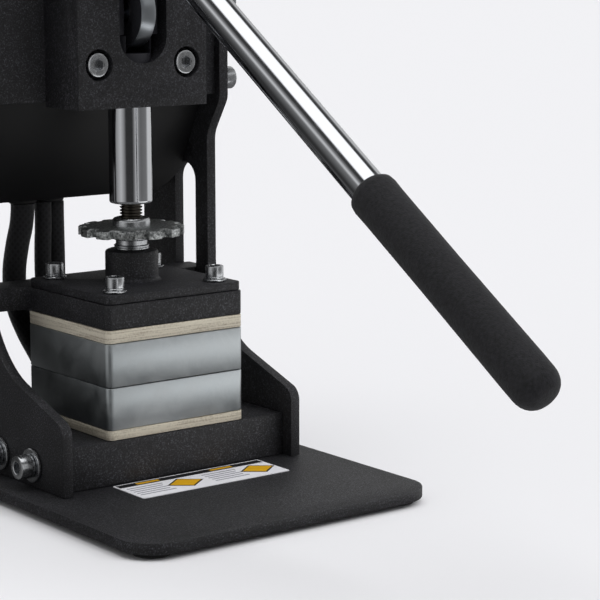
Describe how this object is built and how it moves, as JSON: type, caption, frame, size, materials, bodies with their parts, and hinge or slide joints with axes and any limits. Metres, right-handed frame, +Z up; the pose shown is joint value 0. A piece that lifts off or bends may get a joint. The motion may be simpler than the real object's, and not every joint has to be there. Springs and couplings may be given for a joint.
{
  "type": "tabletop lever heat press",
  "caption": "Tabletop lever press: steel frame with side plates, toggle lever, round ram with height wheel, and heated upper and lower platens.",
  "frame": {"origin": "on the surface the feet stand on, at the centre of the bounding box seen from above", "axes": "+Z up, -Y towards the operator and along the lever, +X to the operator's right"},
  "size_m": [0.188, 0.4438, 0.345],
  "materials": {
    "powder_coat": "fine textured powder coat",
    "chrome": "hard chrome",
    "zinc_steel": "bright zinc",
    "aluminium": "mill finish",
    "fibre_board": "pressed fibre laminate",
    "black_rubber": "matte",
    "black_plastic": "matte",
    "lead_sleeve": "braided sleeve",
    "display_glass": "smoked",
    "label_film": "satin printed film"
  },
  "bodies": {
    "frame": {"base_plate": "powder_coat", "caution_label": "label_film", "control_cover": "powder_coat", "control_housing": "black_plastic", "display_window": "display_glass", "foot_back_left": "black_rubber", "foot_back_right": "black_rubber", "foot_front_left": "black_rubber", "foot_front_right": "black_rubber", "head_block": "powder_coat", "head_block_screw_1": "zinc_steel", "head_block_screw_2": "zinc_steel", "head_block_screw_3": "zinc_steel", "head_block_screw_4": "zinc_steel", "head_bolt_left_1": "zinc_steel", "head_bolt_left_2": "zinc_steel", "head_bolt_right_1": "zinc_steel", "head_bolt_right_2": "zinc_steel", "head_plate": "powder_coat", "left_side_plate": "powder_coat", "lower_cable_gland": "black_plastic", "lower_cartridge_heater": "chrome", "lower_heater_lead": "lead_sleeve", "lower_insulator_board": "fibre_board", "lower_platen": "aluminium", "pivot_pin": "chrome", "platform_block": "powder_coat", "platform_bolt_left_1": "zinc_steel", "platform_bolt_left_2": "zinc_steel", "platform_bolt_right_1": "zinc_steel", "platform_bolt_right_2": "zinc_steel", "platform_washer_left_1": "zinc_steel", "platform_washer_left_2": "zinc_steel", "platform_washer_right_1": "zinc_steel", "platform_washer_right_2": "zinc_steel", "power_inlet": "black_plastic", "right_side_plate": "powder_coat", "upper_cable_gland": "black_plastic", "upper_heater_lead": "lead_sleeve"},
    "lever": {"lever_hub": "powder_coat", "lever_bar": "chrome", "lever_grip": "black_rubber", "crank_pin": "chrome"},
    "link": {"toggle_link": "chrome"},
    "ram": {"ram": "chrome", "clevis_pin": "chrome"},
    "carriage": {"carriage_block": "powder_coat", "boss_plate": "powder_coat", "boss_plate_screw_1": "zinc_steel", "boss_plate_screw_2": "zinc_steel", "boss_plate_screw_3": "zinc_steel", "boss_plate_screw_4": "zinc_steel", "upper_insulator_board": "fibre_board", "upper_platen": "aluminium", "upper_cartridge_heater": "chrome"},
    "adjuster": {"adjusting_wheel": "zinc_steel", "adjusting_stud": "zinc_steel"},
    "switch": {"power_switch": "black_plastic"},
    "button_up": {"temperature_up_button": "black_plastic"},
    "button_down": {"temperature_down_button": "black_plastic"}
  },
  "joints": [
    {"name": "lever_hinge", "type": "hinge", "parent": "frame", "child": "lever", "pos_m": [0, 0.10761, 0.316], "axis": [-1, 0, 0], "range_deg": [0, 78]},
    {"name": "link_hinge", "type": "hinge", "parent": "lever", "child": "link", "pos_m": [0, 0.10761, 0.301], "axis": [1, 0, 0], "range_deg": [0, 101]},
    {"name": "ram_slide", "type": "slide", "parent": "frame", "child": "ram", "axis": [0, 0, 1], "range_m": [0, 0.0126], "deforming": ["upper_heater_lead"]},
    {"name": "height_slide", "type": "slide", "parent": "ram", "child": "carriage", "axis": [0, 0, 1], "range_m": [0, 0.0035]},
    {"name": "wheel_turn", "type": "hinge", "parent": "carriage", "child": "adjuster", "pos_m": [0, 0.10761, 0.1338], "axis": [0, 0, 1], "range_deg": [0, 720]},
    {"name": "switch_rock", "type": "hinge", "parent": "frame", "child": "switch", "pos_m": [0.032, 0.21791, 0.183], "axis": [1, 0, 0], "range_deg": [0, 10]},
    {"name": "button_up_press", "type": "slide", "parent": "frame", "child": "button_up", "axis": [0, -1, 0], "range_m": [0, 0.001], "stiffness_N_per_m": 300},
    {"name": "button_down_press", "type": "slide", "parent": "frame", "child": "button_down", "axis": [0, -1, 0], "range_m": [0, 0.001], "stiffness_N_per_m": 300}
  ],
  "couplings": [
    {"joint": "link_hinge", "follows": "lever_hinge", "ratio": 1.2788},
    {"joint": "ram_slide", "follows": "lever_hinge", "m_per_rad": 0.009242},
    {"joint": "wheel_turn", "follows": "height_slide", "rad_per_m": 3590.4}
  ]
}
